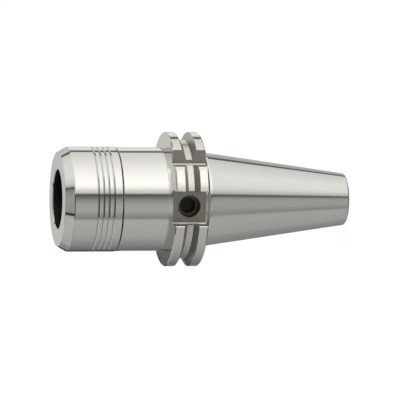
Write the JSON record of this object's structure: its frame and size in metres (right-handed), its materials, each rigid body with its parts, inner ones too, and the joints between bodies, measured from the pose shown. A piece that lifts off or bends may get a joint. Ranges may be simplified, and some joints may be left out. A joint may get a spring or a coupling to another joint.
{
  "type": "collet chuck holder",
  "caption": "Steep-taper collet chuck holder with a V-grooved flange, drive slots and a smooth roller-bearing clamping nut that screws on the nose.",
  "frame": {"origin": "centre of the taper's small end face, on which the chuck stands", "axes": "+Z along the spindle axis from the taper's small end to the clamping nut; -Y through the deeper drive slot; the orientation notch lies towards +X of it"},
  "size_m": [0.0636, 0.0612, 0.1384],
  "materials": {
    "ground_steel": "case-hardened steel, finely ground and bright",
    "nut_steel": "hardened steel, finely turned and ground",
    "ring_steel": "hardened bearing steel, ground",
    "roller_steel": "polished bearing steel",
    "screw_steel": "black oxide on hardened steel"
  },
  "bodies": {
    "holder": {"holder_body": "ground_steel", "coolant_plug_1": "screw_steel", "coolant_plug_2": "screw_steel"},
    "ring": {"thrust_ring": "ring_steel"},
    "bearing": {"roller_cage": "ring_steel", "roller_01": "roller_steel", "roller_02": "roller_steel", "roller_03": "roller_steel", "roller_04": "roller_steel", "roller_05": "roller_steel", "roller_06": "roller_steel", "roller_07": "roller_steel", "roller_08": "roller_steel", "roller_09": "roller_steel", "roller_10": "roller_steel", "roller_11": "roller_steel", "roller_12": "roller_steel", "roller_13": "roller_steel", "roller_14": "roller_steel", "roller_15": "roller_steel", "roller_16": "roller_steel", "roller_17": "roller_steel", "roller_18": "roller_steel"},
    "nut": {"clamping_nut": "nut_steel", "retaining_ring": "screw_steel"},
    "stop": {"stop_screw": "screw_steel"}
  },
  "joints": [
    {"name": "ring_slide", "type": "slide", "parent": "holder", "child": "ring", "axis": [0, 0, 1], "range_m": [0, 0.012]},
    {"name": "bearing_roll", "type": "hinge", "parent": "ring", "child": "bearing", "pos_m": [0, 0, 0.1341], "axis": [0, 0, 1], "range_deg": [0, 1440]},
    {"name": "nut_turn", "type": "hinge", "parent": "ring", "child": "nut", "pos_m": [0, 0, 0.1249], "axis": [0, 0, 1], "range_deg": [0, 2880]},
    {"name": "stop_screw_slide", "type": "slide", "parent": "holder", "child": "stop", "axis": [0, 0, 1], "range_m": [-0.005, 0.012]}
  ],
  "couplings": [
    {"joint": "ring_slide", "follows": "nut_turn", "m_per_rad": 0.00023873},
    {"joint": "bearing_roll", "follows": "nut_turn", "ratio": 0.5}
  ]
}
